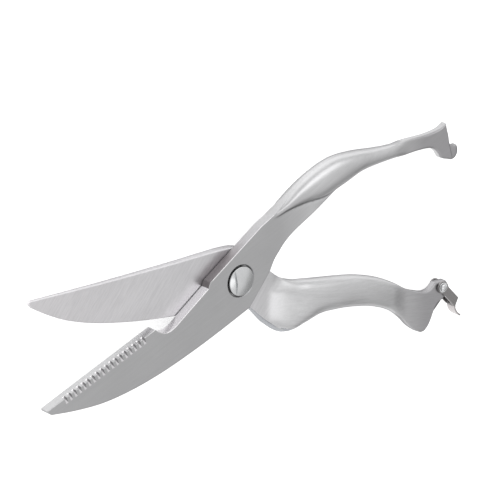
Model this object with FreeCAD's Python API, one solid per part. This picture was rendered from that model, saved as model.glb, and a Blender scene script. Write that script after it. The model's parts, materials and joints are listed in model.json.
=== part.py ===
import FreeCAD, Part
import math
import os
from FreeCAD import Vector

# Poultry shears with a hidden opening spring and a clip that locks the handles shut.
#
# Frame: the origin is the middle of the nut's flat rear face, on the pivot axis. +Z runs along the
# pivot axis from the plain rear half towards the serrated front half, +X runs from the blades
# towards the handles, and +Y is on the side of the front handle. Each half is drawn closed, in a
# frame of its own that has the pivot at (0, 0), the blade along -X and the two halves' common
# sliding plane at z = 0. It is then turned about the pivot by half of the opening angle.
# All sizes are millimetres and degrees.

# ---- overall sizes ----
BLADE_LENGTH = 110.0            # pivot to tip, both halves
HANDLE_LENGTH = 123.0           # pivot to clip rivet, measured along X with the shears shut
OPEN_ANGLE = 25.1               # between the two blades as the shears lie

# ---- plates and blades ----
FRONT_PLATE_T = 5.2
REAR_PLATE_T = 4.8
REAR_TIP_T = 1.9                # rear blade thickness at its tip
SLIDE_GAP = 0.08                # running gap between the two plates

# ---- serrations on the front blade ----
SLOT_COUNT = 18
SLOT_PITCH = 2.64
SLOT_WIDTH = 1.25
SLOT_FIRST = 10.1               # tip to first slot
SLOT_REACH = 2.8                # how far each slot runs onto the front face
SLOT_DROP = 2.0                 # how far each slot runs down the cutting edge

# ---- pivot ----
BARREL_D = 8.0
THREAD_D = 5.0
SCREW_HEAD_D = 13.2
SCREW_RIM_H = 1.9               # straight rim of the screw head
SCREW_DOME_H = 1.3              # rise of the dome above the rim
SCREW_SLOT_W = 0.9
SCREW_SLOT_DEPTH = 1.3
SCREW_SLOT_OFFSET = 3.6         # the slot runs beside the middle of the head
SCREW_SLOT_ANGLE = 88.0         # as the shears lie, from +X
HEAD_WELL_GAP = 0.6             # radial gap round the screw head
HEAD_WELL_DEPTH = 1.8
WASHER_T = 0.4
WASHER_D = 12.2
NUT_HEAD_D = 15.0
NUT_HEAD_T = 2.0
NUT_COLLAR_D = 11.0
NUT_COLLAR_FLATS = 9.0
NUT_COLLAR_T = 1.0

# ---- opening spring, in a round pocket between the plates ----
WIRE_D = 1.0
COIL_R = 6.4                    # to the middle of the wire
COIL_TURNS = 2.75
COIL_PITCH = 1.1
LEG_R = 10.2                    # how far out the two legs reach
POCKET_R = 8.6
LEG_SLOT_CLEAR = 0.2

# ---- opening stop: a dowel in the rear plate that runs in a curved groove ----
STOP_PIN_D = 2.4
STOP_PIN_R = 11.5               # pivot axis to pin axis
STOP_PIN_ANGLE = 205.0          # in the rear half's own frame
STOP_PIN_BED = 2.6
STOP_PIN_RISE = 1.3
GROOVE_DEPTH = 1.7
OPEN_TRAVEL = 12.0              # opens this much more than it lies
CLOSE_TRAVEL = 26.5             # shuts by this much from where it lies

# ---- handles ----
HANDLE_END_T = 4.0              # flattened ends of both handles
NUB_T = 3.2                     # the hook nub on the front handle
HANDLE_FULLNESS = 2.5           # exponent of the handles' rounded section
GRIP_SCALE = 1.0                # thickness of the rounded grips, against the drawn sections
DRAWN_BLADE = 110.0             # the outlines below are drawn for these two lengths
DRAWN_HANDLE = 123.0
RIGID_R = 20.0                  # nothing this near the pivot stretches when a length changes

# ---- lock clip ----
CLIP_T = 0.9
CLIP_GAP = 0.3                  # from each arm to the lug
CLIP_ARM_W = 4.2
CLIP_EYE_R = 2.8
CLIP_REACH = 13.3               # rivet to the middle of the web
CLIP_WEB_LEAN = 20.0            # the web leans in at its leading edge
CLIP_LIP_W = 5.0
CLIP_REST_ANGLE = -39.7         # direction of the arms in the rear half's own frame
RIVET_D = 2.4
RIVET_HEAD_D = 3.8
RIVET_HEAD_H = 1.1
RIVET_WASHER_D = 4.7
RIVET_WASHER_T = 0.3
RIVET_DROP = -16.6              # rivet's place across the rear half's own frame

# ---- fits ----
RUN_CLEAR = 0.05                # radial, on everything that turns
SEAT_CLEAR = 0.02               # radial, on what is fixed in its hole
END_CLEAR = 0.05                # axial, beside what turns

# ---- sizes that follow ----
SHEAR_Z = NUT_HEAD_T + REAR_PLATE_T
HALF_OPEN = OPEN_ANGLE / 2
FRONT_LOW = SLIDE_GAP / 2
REAR_TOP = -SLIDE_GAP / 2
FRONT_TOP = FRONT_PLATE_T
REAR_LOW = -REAR_PLATE_T
HEAD_WELL_R = SCREW_HEAD_D / 2 + HEAD_WELL_GAP
WELL_FLOOR = FRONT_TOP - HEAD_WELL_DEPTH
HEAD_SEAT = WELL_FLOOR + WASHER_T + END_CLEAR
COIL_HEIGHT = COIL_TURNS * COIL_PITCH
COIL_LOW = -0.7 * COIL_HEIGHT
LOW_LEG_ANGLE = 0.0             # as the shears lie, from +X
HIGH_LEG_ANGLE = LOW_LEG_ANGLE + 360.0 * COIL_TURNS
COIL_HIGH = COIL_LOW + COIL_HEIGHT
POCKET_LOW = COIL_LOW - WIRE_D / 2 - 0.12
POCKET_HIGH = COIL_HIGH + WIRE_D / 2 + 0.12
ARM_IN = HANDLE_END_T / 2 + CLIP_GAP
ARM_OUT = ARM_IN + CLIP_T
CUT = 1.0                       # cutters stand this far proud of what they cut


def stretch_x(x):
    """Where a drawn x lies once the blade or the handle has its own length."""
    if abs(x) <= RIGID_R:
        return x
    drawn, real = (DRAWN_BLADE, BLADE_LENGTH) if x < 0 else (DRAWN_HANDLE, HANDLE_LENGTH)
    share = (abs(x) - RIGID_R) / (drawn - RIGID_R)
    return math.copysign(RIGID_R + share * (real - RIGID_R), x)


def scaled(points):
    return [(stretch_x(x), y) for x, y in points]


def smooth(points):
    curve = Part.BSplineCurve()
    curve.interpolate([Vector(x, y, 0) for x, y in points])
    return curve.toShape()


def outline(start, runs):
    """A closed face from straight runs, given as one point, and smooth runs, given as a list."""
    edges = []
    here = start
    for run in runs:
        points = run if isinstance(run, list) else [run]
        if len(points) == 1:
            edges.append(Part.makeLine(Vector(*here, 0), Vector(*points[0], 0)))
        else:
            edges.append(smooth([here] + points))
        here = points[-1]
    if math.dist(here, start) > 1e-6:
        edges.append(Part.makeLine(Vector(*here, 0), Vector(*start, 0)))
    return Part.Face(Part.Wire(edges))


def slab(face, low, high):
    face = face.copy()
    face.translate(Vector(0, 0, low))
    return face.extrude(Vector(0, 0, high - low))


def disc(radius, low, high, x=0.0, y=0.0):
    return Part.makeCylinder(radius, high - low, Vector(x, y, low))


def turned(shape, angle, x=0.0, y=0.0):
    shape = shape.copy()
    shape.rotate(Vector(x, y, 0), Vector(0, 0, 1), angle)
    return shape


def grip_section(x, low, high, middle_z, half_t):
    """One rounded section of a handle: a superellipse across the handle at x."""
    half_w = (high - low) / 2
    middle_y = (high + low) / 2
    points = []
    steps = 16
    for i in range(steps):
        t = 2 * math.pi * i / steps
        c = math.cos(t)
        s = math.sin(t)
        y = math.copysign(abs(c) ** (2 / HANDLE_FULLNESS), c)
        z = math.copysign(abs(s) ** (2 / HANDLE_FULLNESS), s)
        points.append(Vector(x, middle_y + half_w * y, middle_z + half_t * z))
    curve = Part.BSplineCurve()
    curve.interpolate(points, PeriodicFlag=True)
    return Part.Wire(curve.toShape())


def grip(sections):
    wires = []
    for x, low, high, middle_z, half_t in sections:
        wires.append(grip_section(stretch_x(x), low, high, middle_z, half_t * GRIP_SCALE))
    return Part.makeLoft(wires, True, False)


def end_shift():
    """How far the drawn handle ends move out when the handles are longer or shorter."""
    return HANDLE_LENGTH - DRAWN_HANDLE


def end_points(points):
    return [(x + end_shift(), y) for x, y in points]


# Sections of the grips: x, inner or lower edge, outer or upper edge, middle z, half thickness
FRONT_GRIP = [
    (26.0, 16.6, 19.2, FRONT_PLATE_T / 2, FRONT_PLATE_T / 2 - 0.3),
    (33.0, 16.8, 20.9, 2.5, 3.8),
    (42.0, 14.9, 23.5, 2.2, 5.0),
    (54.0, 11.2, 25.2, 1.7, 5.8),
    (66.0, 10.6, 24.8, 1.2, 5.9),
    (78.0, 10.6, 21.0, 0.7, 5.2),
    (90.0, 8.0, 15.7, 0.3, 4.0),
    (100.0, 4.9, 11.9, 0.0, 2.9),
    (110.0, 2.7, 9.3, 0.0, 2.3),
]
REAR_GRIP = [
    (23.0, -22.0, -0.6, -REAR_PLATE_T / 2, REAR_PLATE_T / 2 - 0.3),
    (29.0, -25.9, -3.3, -1.9, 4.1),
    (35.0, -27.7, -4.9, -1.2, 5.3),
    (42.0, -25.0, -5.0, -0.6, 5.9),
    (50.0, -21.7, -5.1, -0.2, 6.0),
    (60.0, -20.5, -5.3, 0.0, 5.9),
    (72.0, -20.6, -6.1, 0.0, 5.5),
    (84.0, -22.1, -8.4, 0.0, 4.7),
    (94.0, -25.3, -11.8, 0.0, 3.6),
    (102.0, -30.0, -15.0, 0.0, 2.6),
]


def front_half():
    # the plate runs from the tip to where it dies away inside the grip
    belly = [(-98, -7.4), (-83.4, -12.5), (-67.9, -15.4), (-51.8, -16.7), (-34.8, -16.7), (-17.4, -15.9),
             (0.5, -14.5)]
    inner = [(19.5, -0.9), (23.1, 1.4), (27.8, 4.0), (33.9, 6.1), (41.8, 7.6), (54.4, 9.8), (63.0, 12.4)]
    notch = [(-38.8, -0.75), (-41.4, -1.0), (-43.6, -0.5), (-46.2, 1.1), (-48.4, 4.0)]
    plate = slab(outline(
        scaled([(-110.0, 0.2)])[0],
        [scaled([(-109.9, -1.0)])[0],
         scaled([(-108.6, -2.7)])[0],
         scaled(belly),
         (15.6, -4.7),
         scaled(inner),
         scaled([(58.0, 18.0)])[0],
         scaled([(36.0, 20.4)])[0],
         scaled([(25.0, 19.0)])[0],
         (18.0, 17.8),
         (-13.6, 8.6),
         [(-15.4, 7.9), (-16.8, 6.1)],
         scaled([(-33.5, 0.8)])[0],
         scaled(notch)]), FRONT_LOW, FRONT_TOP)
    body = plate.fuse(grip(FRONT_GRIP))
    half = HANDLE_END_T / 2
    top = [(107.1, 10.2), (112.0, 8.7), (117.3, 7.0), (122.5, 5.8), (127.0, 5.3), (130.2, 6.0)]
    inner_bend = [(121.7, -5.0), (119.9, -1.9), (117.9, -0.4), (114.4, 0.9), (107.4, 3.2)]
    hook = slab(outline(
        end_points([(101.0, 11.6)])[0],
        [end_points(top),
         end_points([(130.0, 3.8), (129.9, 1.5), (129.5, -1.0)]),
         end_points([(129.4, -6.0)])[0],
         end_points([(129.2, -11.2)])[0],
         end_points([(126.6, -11.2), (124.2, -9.6), (122.3, -7.9)]),
         end_points(inner_bend),
         end_points([(101.0, 5.2)])[0]]), -half, half)
    nub_half = NUB_T / 2
    nub = slab(outline(
        end_points([(126.4, -1.8)])[0],
        [end_points([(129.4, -2.2)])[0],
         end_points([(130.9, -5.9), (131.6, -6.5), (132.5, -6.4)]),
         end_points([(133.4, -7.4), (133.5, -8.8), (132.9, -10.6), (131.8, -12.0), (130.4, -12.7),
                     (128.4, -12.6)]),
         end_points([(126.2, -10.6)])[0]]), -nub_half, nub_half)
    body = body.fuse([hook, nub])
    # pivot bore, well for the screw head, spring pocket with a slot for one leg, stop groove
    cuts = [disc(BARREL_D / 2 + RUN_CLEAR, -CUT, FRONT_TOP + CUT),
            disc(HEAD_WELL_R, WELL_FLOOR, FRONT_TOP + CUT),
            disc(POCKET_R, -CUT, POCKET_HIGH),
            leg_slot(HIGH_LEG_ANGLE - HALF_OPEN, -CUT, POCKET_HIGH),
            stop_groove()]
    cuts.extend(serrations())
    return turned(body.cut(cuts), HALF_OPEN).removeSplitter()


def leg_slot(angle, low, high):
    width = WIRE_D + 2 * LEG_SLOT_CLEAR
    box = Part.makeBox(LEG_R + 0.4, width, high - low, Vector(0, -width / 2, low))
    return turned(box, angle)


def stop_groove():
    """The curved groove that the stop pin runs in, from shut to wide open."""
    radius = STOP_PIN_D / 2 + 0.3
    spare = math.degrees(0.15 / STOP_PIN_R)
    first = STOP_PIN_ANGLE - OPEN_ANGLE - OPEN_TRAVEL - spare
    last = STOP_PIN_ANGLE - OPEN_ANGLE + CLOSE_TRAVEL + spare
    # the pin meets the groove's ends, so their centres sit inside by the width that is spare
    inset = math.degrees((radius - STOP_PIN_D / 2) / STOP_PIN_R)
    first += inset
    last -= inset
    ring = disc(STOP_PIN_R + radius, -CUT, GROOVE_DEPTH).cut(disc(STOP_PIN_R - radius, -CUT, GROOVE_DEPTH))
    wedge_r = 3 * STOP_PIN_R
    corners = [(0, 0)]
    for i in range(3):
        angle = math.radians(first + (last - first) * i / 2)
        corners.append((wedge_r * math.cos(angle), wedge_r * math.sin(angle)))
    wedge = slab(outline(corners[0], corners[1:]), -CUT, GROOVE_DEPTH)
    groove = ring.common(wedge)
    ends = []
    for angle in (math.radians(first), math.radians(last)):
        ends.append(disc(radius, -CUT, GROOVE_DEPTH,
                         STOP_PIN_R * math.cos(angle), STOP_PIN_R * math.sin(angle)))
    return groove.fuse(ends)


def serrations():
    """Wedge-shaped slots across the front arris of the cutting edge, square to the edge."""
    tip = scaled([(-110.0, 0.2)])[0]
    corner = scaled([(-48.4, 4.0)])[0]
    slope = math.degrees(math.atan2(corner[1] - tip[1], corner[0] - tip[0]))
    profile = Part.makePolygon([
        Vector(0, CUT, FRONT_TOP + CUT),
        Vector(0, CUT, FRONT_TOP - SLOT_DROP - CUT * SLOT_DROP / SLOT_REACH),
        Vector(0, -SLOT_REACH - CUT * SLOT_REACH / SLOT_DROP, FRONT_TOP + CUT),
        Vector(0, CUT, FRONT_TOP + CUT)])
    cutter = Part.Face(profile).extrude(Vector(SLOT_WIDTH, 0, 0))
    cutter.translate(Vector(-SLOT_WIDTH / 2, 0, 0))
    slots = []
    for i in range(SLOT_COUNT):
        slot = cutter.copy()
        slot.translate(Vector(SLOT_FIRST + i * SLOT_PITCH, 0, 0))
        slot.rotate(Vector(0, 0, 0), Vector(0, 0, 1), slope)
        slot.translate(Vector(tip[0], tip[1], 0))
        slots.append(slot)
    return slots


def rear_half():
    spine = [(-90, 3.2), (-73.3, 5.0), (-50.7, 7.7), (-32.5, 10.0), (-16.0, 12.3), (-6.0, 13.5),
             (-1.0, 13.7), (4.0, 12.8), (9.0, 10.4), (14.5, 6.0), (20.6, 1.1)]
    belly = [(-99.9, -5.7), (-90.6, -9.0), (-82.0, -11.0), (-71.7, -12.6), (-60.8, -13.5), (-44.2, -14.1),
             (-31.7, -14.0), (-15.0, -13.6), (0.0, -13.6), (10.8, -14.8)]
    plate = slab(outline(
        scaled([(-110.0, 0.1)])[0],
        [scaled([(-109.2, 1.2)])[0],
         scaled(spine),
         scaled([(26.7, -2.2), (31.0, -4.6)]),
         scaled([(40.0, -10.0)])[0],
         scaled([(40.0, -22.0)])[0],
         scaled([(31.0, -25.6)])[0],
         scaled([(24.7, -23.0), (17.3, -18.8), (10.8, -14.8)]),
         scaled(belly[-2::-1] + [(-107.8, -2.2), (-109.6, -1.0)])]), REAR_LOW, REAR_TOP)
    plate = plate.cut(blade_taper())
    body = plate.fuse(grip(REAR_GRIP))
    half = HANDLE_END_T / 2
    lug = slab(outline(
        end_points([(96.0, -14.2)])[0],
        [end_points([(103.0, -16.0), (109.0, -17.5), (113.6, -18.0), (116.2, -17.3), (118.0, -15.7),
                     (119.4, -13.8)]),
         end_points([(122.2, -13.7)])[0],
         end_points([(125.6, -14.4)])[0],
         end_points([(126.9, -15.6)])[0],
         end_points([(126.9, -18.2), (126.0, -21.4), (124.1, -22.9), (122.2, -23.6), (120.8, -25.3),
                     (119.8, -28.0), (118.9, -31.0), (117.5, -34.2), (115.8, -36.5)]),
         end_points([(114.6, -37.3), (112.6, -37.2), (110.0, -36.1), (105.0, -33.0), (100.5, -28.9),
                     (96.0, -25.0)])]), -half, half)
    body = body.fuse(lug)
    rivet_x = HANDLE_LENGTH
    angle = math.radians(STOP_PIN_ANGLE)
    pin_x = STOP_PIN_R * math.cos(angle)
    pin_y = STOP_PIN_R * math.sin(angle)
    cuts = [disc(BARREL_D / 2 + SEAT_CLEAR, REAR_LOW - CUT, CUT),
            collar(SEAT_CLEAR, REAR_LOW - CUT, REAR_LOW + NUT_COLLAR_T),
            disc(POCKET_R, POCKET_LOW, CUT),
            leg_slot(LOW_LEG_ANGLE + HALF_OPEN, POCKET_LOW, CUT),
            disc(STOP_PIN_D / 2, -STOP_PIN_BED, CUT, pin_x, pin_y),
            disc(RIVET_D / 2 + SEAT_CLEAR, -2 * half, 2 * half, rivet_x, RIVET_DROP)]
    return turned(body.cut(cuts), -HALF_OPEN).removeSplitter()


def blade_taper():
    """What is ground off the back of the rear blade: thinner towards the tip."""
    heel = (-8.0, REAR_LOW)
    tip = (-BLADE_LENGTH - CUT, -REAR_TIP_T)
    side = Part.makePolygon([Vector(heel[0], 0, heel[1]), Vector(tip[0], 0, tip[1]),
                             Vector(tip[0], 0, REAR_LOW - CUT), Vector(heel[0], 0, REAR_LOW - CUT),
                             Vector(heel[0], 0, heel[1])])
    wedge = Part.Face(side).extrude(Vector(0, 80, 0))
    wedge.translate(Vector(0, -40, 0))
    return wedge


def collar(clear, low, high):
    """The nut's collar: round, with two flats that keep it from turning."""
    flats = NUT_COLLAR_FLATS + 2 * clear
    box = Part.makeBox(2 * NUT_COLLAR_D, flats, high - low, Vector(-NUT_COLLAR_D, -flats / 2, low))
    return disc(NUT_COLLAR_D / 2 + clear, low, high).common(box)


def dome(radius, rise, base_z, x=0.0, y=0.0):
    """A spherical cap standing on base_z."""
    ball_r = (radius ** 2 + rise ** 2) / (2 * rise)
    ball = Part.makeSphere(ball_r, Vector(x, y, base_z + rise - ball_r))
    return ball.common(disc(radius, base_z, base_z + rise + CUT, x, y))


def pivot_screw():
    rim_top = HEAD_SEAT + SCREW_RIM_H
    top = rim_top + SCREW_DOME_H
    shape = disc(SCREW_HEAD_D / 2, HEAD_SEAT, rim_top)
    shape = shape.fuse([dome(SCREW_HEAD_D / 2, SCREW_DOME_H, rim_top),
                        disc(THREAD_D / 2, REAR_LOW + 0.5, HEAD_SEAT + SCREW_RIM_H / 2)])
    slot = Part.makeBox(2 * SCREW_HEAD_D, SCREW_SLOT_W, SCREW_SLOT_DEPTH + CUT,
                        Vector(-SCREW_HEAD_D, SCREW_SLOT_OFFSET - SCREW_SLOT_W / 2, top - SCREW_SLOT_DEPTH))
    return shape.cut(turned(slot, SCREW_SLOT_ANGLE)).removeSplitter()


def pivot_nut():
    shape = disc(NUT_HEAD_D / 2, REAR_LOW - NUT_HEAD_T, REAR_LOW)
    shape = shape.fuse([collar(0.0, REAR_LOW - NUT_HEAD_T / 2, REAR_LOW + NUT_COLLAR_T),
                        disc(BARREL_D / 2, REAR_LOW - NUT_HEAD_T / 2, HEAD_SEAT)])
    shape = shape.cut(disc(THREAD_D / 2 + SEAT_CLEAR, REAR_LOW + 0.3, HEAD_SEAT + CUT))
    return turned(shape, -HALF_OPEN).removeSplitter()


def spring_washer():
    ring = disc(WASHER_D / 2, WELL_FLOOR, WELL_FLOOR + WASHER_T)
    return ring.cut(disc(BARREL_D / 2 + 0.15, WELL_FLOOR - CUT, HEAD_SEAT + CUT))


def torsion_spring():
    """A helix between the plates with one leg out to each half."""
    helix = Part.makeHelix(COIL_PITCH, COIL_HEIGHT, COIL_R)
    profile = Part.Wire(Part.makeCircle(WIRE_D / 2, Vector(COIL_R, 0, 0), Vector(0, 1, 0)))
    coil = Part.Wire(helix.Edges).makePipeShell([profile], True, True)
    coil.translate(Vector(0, 0, COIL_LOW))
    coil = turned(coil, LOW_LEG_ANGLE)
    pieces = []
    for angle, z in ((LOW_LEG_ANGLE, COIL_LOW), (HIGH_LEG_ANGLE, COIL_HIGH)):
        leg = Part.makeCylinder(WIRE_D / 2, LEG_R - COIL_R, Vector(COIL_R, 0, z), Vector(1, 0, 0))
        knee = Part.makeSphere(WIRE_D / 2, Vector(COIL_R, 0, z))
        pieces.append(turned(leg, angle))
        pieces.append(turned(knee, angle))
    return coil.fuse(pieces)


def stop_pin():
    angle = math.radians(STOP_PIN_ANGLE)
    pin = disc(STOP_PIN_D / 2, -STOP_PIN_BED, STOP_PIN_RISE,
               STOP_PIN_R * math.cos(angle), STOP_PIN_R * math.sin(angle))
    return turned(pin, -HALF_OPEN)


def on_rivet(shape):
    """From the clip's own frame, rivet at (0, 0) and arms along +X, to where the shears lie."""
    shape = turned(shape, CLIP_REST_ANGLE)
    shape.translate(Vector(HANDLE_LENGTH, RIVET_DROP, 0))
    return turned(shape, -HALF_OPEN)


def lock_clip():
    lean = math.tan(math.radians(CLIP_WEB_LEAN))
    half_w = CLIP_ARM_W / 2
    reach = CLIP_REACH
    lead = (reach - half_w * lean, half_w)
    trail = (reach + half_w * lean, -half_w)
    arm = outline((1.5, half_w), [lead, trail, (1.5, -half_w)])
    pieces = []
    for low in (-ARM_OUT, ARM_IN):
        pieces.append(slab(arm, low, low + CLIP_T).fuse(disc(CLIP_EYE_R, low, low + CLIP_T)))
    inset = CLIP_T / math.cos(math.radians(CLIP_WEB_LEAN))
    web = outline((lead[0] - inset, lead[1]), [lead, trail, (trail[0] - inset, trail[1])])
    pieces.append(slab(web, -ARM_OUT, ARM_OUT))
    # the finger lip: a strip that carries on outward from the web's trailing edge and curls
    middle = [(1.5, -2.8), (3.9, -3.1), (6.4, -2.8), (8.1, -2.1)]
    lip_half = CLIP_T / 2
    under = [(reach + x, y - lip_half) for x, y in middle]
    over = [(reach + x, y + lip_half) for x, y in reversed(middle[1:])]
    lip = outline(trail, [(trail[0] - inset, trail[1]), under, over])
    pieces.append(slab(lip, -CLIP_LIP_W / 2, CLIP_LIP_W / 2))
    shape = pieces[0].fuse(pieces[1:])
    shape = shape.cut(disc(RIVET_D / 2 + RUN_CLEAR, -2 * ARM_OUT, 2 * ARM_OUT))
    return on_rivet(shape).removeSplitter()


def clip_rivet():
    head_r = RIVET_HEAD_D / 2
    front_seat = ARM_OUT + 2 * END_CLEAR + RIVET_WASHER_T
    rear_seat = ARM_OUT + END_CLEAR
    shank = disc(RIVET_D / 2, -rear_seat, front_seat)
    front = dome(head_r, RIVET_HEAD_H, front_seat)
    back = dome(head_r, RIVET_HEAD_H, rear_seat)
    back.rotate(Vector(0, 0, 0), Vector(1, 0, 0), 180)
    return on_rivet(shank.fuse([front, back]))


def clip_washer():
    low = ARM_OUT + END_CLEAR
    ring = disc(RIVET_WASHER_D / 2, low, low + RIVET_WASHER_T)
    return on_rivet(ring.cut(disc(RIVET_D / 2 + RUN_CLEAR, low - CUT, low + CUT)))


PARTS = {
    "front_half": front_half,
    "rear_half": rear_half,
    "pivot_screw": pivot_screw,
    "pivot_nut": pivot_nut,
    "spring_washer": spring_washer,
    "torsion_spring": torsion_spring,
    "stop_pin": stop_pin,
    "lock_clip": lock_clip,
    "clip_rivet": clip_rivet,
    "clip_washer": clip_washer,
}

os.makedirs("parts", exist_ok=True)
for name, make in PARTS.items():
    solid = make()
    solid.translate(Vector(0, 0, SHEAR_Z))
    if not solid.isValid():
        raise ValueError(name + " is not a valid solid")
    solid.exportStep("parts/" + name + ".step")
    box = solid.BoundBox
    print("%-16s solids %d  volume %8.1f  x %7.1f %7.1f  y %6.1f %6.1f  z %5.1f %5.1f" % (
        name, len(solid.Solids), solid.Volume, box.XMin, box.XMax, box.YMin, box.YMax, box.ZMin, box.ZMax))
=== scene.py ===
import json
import math

import bmesh
import bpy
import numpy as np
from bpy.props import FloatProperty, FloatVectorProperty, PointerProperty
from mathutils import Matrix, Vector


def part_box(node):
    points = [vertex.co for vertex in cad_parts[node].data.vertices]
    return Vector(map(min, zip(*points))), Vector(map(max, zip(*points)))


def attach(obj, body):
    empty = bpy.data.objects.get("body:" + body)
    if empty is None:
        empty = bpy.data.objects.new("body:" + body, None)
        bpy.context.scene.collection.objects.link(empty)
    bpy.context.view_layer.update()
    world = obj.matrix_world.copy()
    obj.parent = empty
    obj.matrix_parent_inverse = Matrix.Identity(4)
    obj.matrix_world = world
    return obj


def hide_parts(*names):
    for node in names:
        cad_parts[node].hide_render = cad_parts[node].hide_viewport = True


bl_info = {
    "name": "Poultry Shears",
    "version": (1, 0, 0),
    "blender": (4, 5, 0),
    "location": "View3D > Sidebar > Shears",
    "description": "Builds the finished surfaces and steels of a pair of spring-opened poultry shears",
    "category": "Add Mesh",
}

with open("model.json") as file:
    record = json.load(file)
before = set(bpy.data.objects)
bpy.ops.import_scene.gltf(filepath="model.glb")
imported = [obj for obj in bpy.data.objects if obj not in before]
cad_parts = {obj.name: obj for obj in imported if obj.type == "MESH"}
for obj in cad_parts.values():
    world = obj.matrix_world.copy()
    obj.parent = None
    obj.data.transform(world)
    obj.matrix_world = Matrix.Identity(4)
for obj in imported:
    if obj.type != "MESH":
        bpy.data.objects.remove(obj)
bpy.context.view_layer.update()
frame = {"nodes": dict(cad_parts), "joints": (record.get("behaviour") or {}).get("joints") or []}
JOINTS = {joint["name"]: joint for joint in frame["joints"]}
MM = 0.001

# Millimetres: the front plate's thickness, where the two plates' arrises begin to fade into the grips,
# how finely the halves are laid out, their rounded ends, and their bores on the barrel
PLATE = 5.2
FRONT_FADE = 26
REAR_FADE = 24
STATION_STEP = 0.8
END_RADIUS = 0.5
FRONT_BORE = 4.05
REAR_BORE = 4.02

# Millimetres, read from the frame. Each half is worked out as it lies when the shears are shut, in a
# frame of its own with the pivot at (0, 0), the blade along -X and the common sliding plane at z = 0.
SLIDE_Z = JOINTS["blade_pivot"]["pos_m"][2] / MM
RIVET = Vector(JOINTS["clip_pivot"]["pos_m"]) / MM
SCREW_LOW, SCREW_HIGH = (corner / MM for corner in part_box("pivot_screw"))
CLIP_LOW, CLIP_HIGH = (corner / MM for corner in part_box("lock_clip"))
RIVET_LOW, RIVET_HIGH = (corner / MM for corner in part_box("clip_rivet"))
WASHER_LOW, WASHER_HIGH = (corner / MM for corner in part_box("clip_washer"))


def linear(hex_colour):
    """An sRGB hex colour as the linear numbers that shaders use."""
    parts = [int(hex_colour[i:i + 2], 16) / 255 for i in (1, 3, 5)]
    return tuple(c / 12.92 if c <= 0.04045 else ((c + 0.055) / 1.055) ** 2.4 for c in parts)


# ---------------------------------------------------------------- settings that a user would change

def length_setting(name, millimetres, description, precision=5):
    """A length, given in millimetres and kept in metres."""
    return FloatProperty(name=name, description=description, default=millimetres * MM,
                         unit="LENGTH", precision=precision)


def colour_setting(name, hex_colour, description):
    """A colour, given as an sRGB hex colour."""
    return FloatVectorProperty(name=name, description=description, default=linear(hex_colour),
                               size=3, subtype="COLOR", min=0, max=1)


def share_setting(name, share, description):
    """A share from 0 to 1."""
    return FloatProperty(name=name, description=description, default=share, subtype="FACTOR",
                         min=0, max=1)


class ShearsSizes(bpy.types.PropertyGroup):
    """Sizes of the finished surfaces"""
    half_open: FloatProperty(
        name="Half opening", description="Turn of each half from where the shears are shut",
        default=math.radians(12.55), subtype="ANGLE")
    plate: length_setting("Front plate", PLATE, "Thickness of the front half's plate")
    rear_plate: length_setting("Rear plate", 4.8, "Thickness of the rear half's plate at the pivot")
    rear_tip: length_setting("Rear tip", 1.9, "Thickness of the rear blade at its tip")
    handle_end: length_setting("Handle end", 4.0, "Thickness of the flattened handle ends")
    nub: length_setting("Nub", 3.2, "Thickness of the nub that the lock clip drops over")
    slide_gap: length_setting("Sliding gap", 0.08, "Gap between the two plates", 6)
    arris: length_setting("Arris", 0.5, "Radius worn onto the plates' edges")
    slot_pitch: length_setting("Serration pitch", 2.64, "Distance from one serration to the next")
    slot_width: length_setting("Serration width", 1.25, "Width of each serration along the cutting edge")
    well_gap: length_setting("Head gap", 0.6, "Radial gap round the screw's head")
    well_depth: length_setting("Well depth", 1.8, "Depth of the well that the screw's head sits in")
    screw_slot: length_setting("Screw slot", 0.9, "Width of the slot in the screw's head")


class ShearsFinish(bpy.types.PropertyGroup):
    """Colours and finishes of the steels"""
    front_colour: colour_setting(
        "Front steel", "#BABABB", "Colour of the front half's flat faces, the nut and the stop pin")
    rear_colour: colour_setting("Rear blade steel", "#D8D7D9", "Colour of the freshly ground rear blade")
    grip_colour: colour_setting("Grip steel", "#CFCFD0", "Colour of the two rounded grips")
    end_colour: colour_setting("Handle end steel", "#AEADAF", "Colour of the handles' flattened ends")
    bright_colour: colour_setting("Bright steel", "#DADBDC", "Colour of the polished screw and rivet")
    # freshly ground edges, lighter as a painted highlight on the front edge band, its arris and the
    # serrations
    edge_colour: colour_setting(
        "Ground edge", "#DFDDDF", "Colour of the freshly ground edges, lighter as a painted highlight on the front edge band, its arris and the serrations")
    # painted shade on the edge past the step
    forged_colour: colour_setting(
        "Forged edge", "#8A8587", "Painted shade on the edge past the step")
    clip_colour: colour_setting("Clip steel", "#939191", "Colour of the bent clip")
    # painted highlight: the lip is lighter, with a warm painted reflection
    lip_colour: colour_setting("Lip steel", "#BBB7B7", "Colour of the clip's finger lip, lighter as a painted highlight")
    # painted shade on the rear grip's underside
    underside_colour: colour_setting(
        "Underside", "#9B9DA1", "Painted shade on the rear grip's underside")
    spring_colour: colour_setting("Spring steel", "#A4A5A7", "Colour of the spring's wire and its washer")
    satin: share_setting("Satin roughness", 0.36, "Roughness of the ground faces")
    # painted shade: where a face is seen almost edge on it keeps only this share of its colour
    rim: share_setting("Rim tint", 0.25, "Share of the colour left where a face is seen almost edge on")
    polish: share_setting("Polished roughness", 0.14, "Roughness of the polished pieces")


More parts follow.
